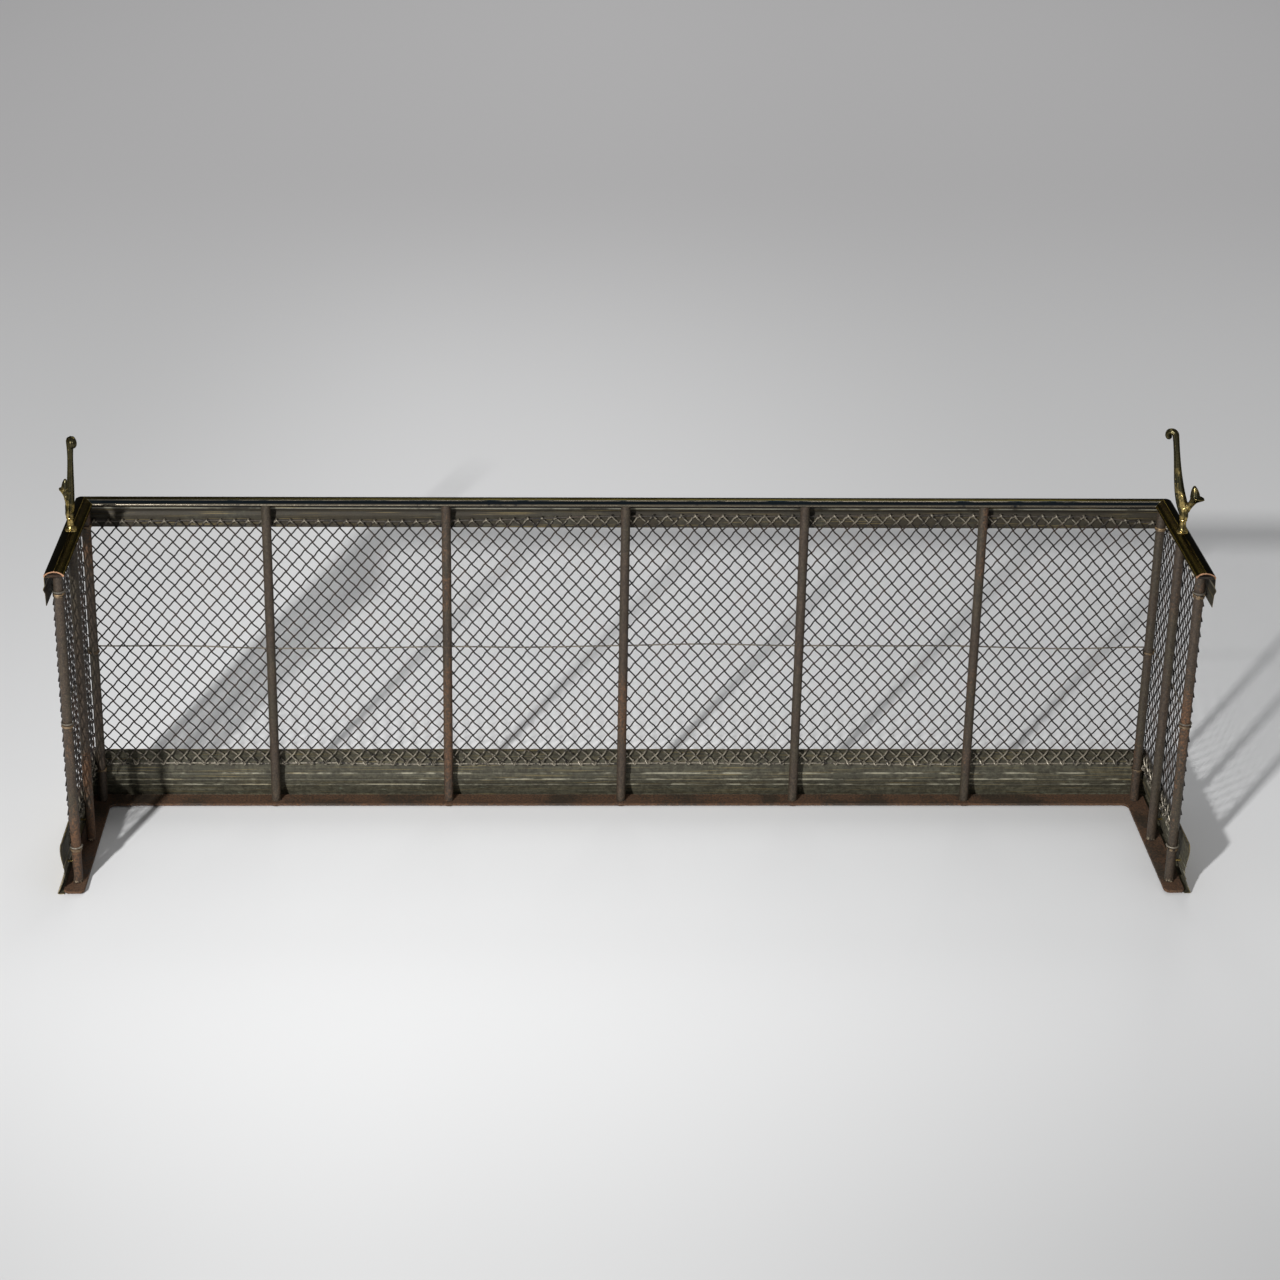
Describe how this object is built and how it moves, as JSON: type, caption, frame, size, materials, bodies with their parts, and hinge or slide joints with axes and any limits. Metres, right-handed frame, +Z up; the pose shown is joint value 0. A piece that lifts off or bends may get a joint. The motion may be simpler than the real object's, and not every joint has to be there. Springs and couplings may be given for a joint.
{
  "type": "fire fender",
  "caption": "Three-sided wire-mesh fire fender with a brass rail and skirt, standing on iron posts, with a turning fire-iron rest on each side rail.",
  "frame": {"origin": "centre of the fender at floor level: middle of the bounding box in X and Y, at its bottom", "axes": "+X along the long front, +Y out of the front into the room, -Y towards the hearth, where the fender is open, +Z up"},
  "size_m": [1.2392, 0.2186, 0.5011],
  "materials": {
    "iron": "bare wrought iron, evenly rusted to dull brown",
    "aged_brass": "aged sheet brass, olive-brown with brighter edges",
    "polished_brass": "cast brass, worn bright on the high parts and dark in the hollows",
    "net_wire": "weathered wire, grey-brown"
  },
  "bodies": {
    "fender": {"base_plate": "iron", "front_post_1": "iron", "front_post_2": "iron", "front_post_3": "iron", "front_post_4": "iron", "front_post_5": "iron", "left_corner_post": "iron", "right_corner_post": "iron", "left_side_post": "iron", "right_side_post": "iron", "left_end_post": "iron", "right_end_post": "iron", "front_top_bar": "iron", "left_top_bar": "iron", "right_top_bar": "iron", "front_rail": "aged_brass", "left_rail": "aged_brass", "right_rail": "aged_brass", "front_frieze": "aged_brass", "left_frieze": "aged_brass", "right_frieze": "aged_brass", "frieze_rivets": "aged_brass", "front_skirt": "aged_brass", "left_skirt": "aged_brass", "right_skirt": "aged_brass", "skirt_screws": "aged_brass", "left_rest_saddle": "polished_brass", "right_rest_saddle": "polished_brass", "front_netting": "net_wire", "left_netting": "net_wire", "right_netting": "net_wire", "top_border_wire": "net_wire", "middle_wire": "net_wire", "bottom_border_wire": "net_wire", "left_post_ties": "net_wire", "right_post_ties": "net_wire"},
    "left_rest": {"left_iron_rest": "polished_brass"},
    "right_rest": {"right_iron_rest": "polished_brass"}
  },
  "joints": [
    {"name": "left_rest_swivel", "type": "hinge", "parent": "fender", "child": "left_rest", "pos_m": [-0.6, 0.0012, 0.3871], "axis": [0, 0, 1], "continuous": true},
    {"name": "right_rest_swivel", "type": "hinge", "parent": "fender", "child": "right_rest", "pos_m": [0.6, 0.0012, 0.3871], "axis": [0, 0, 1], "continuous": true}
  ]
}
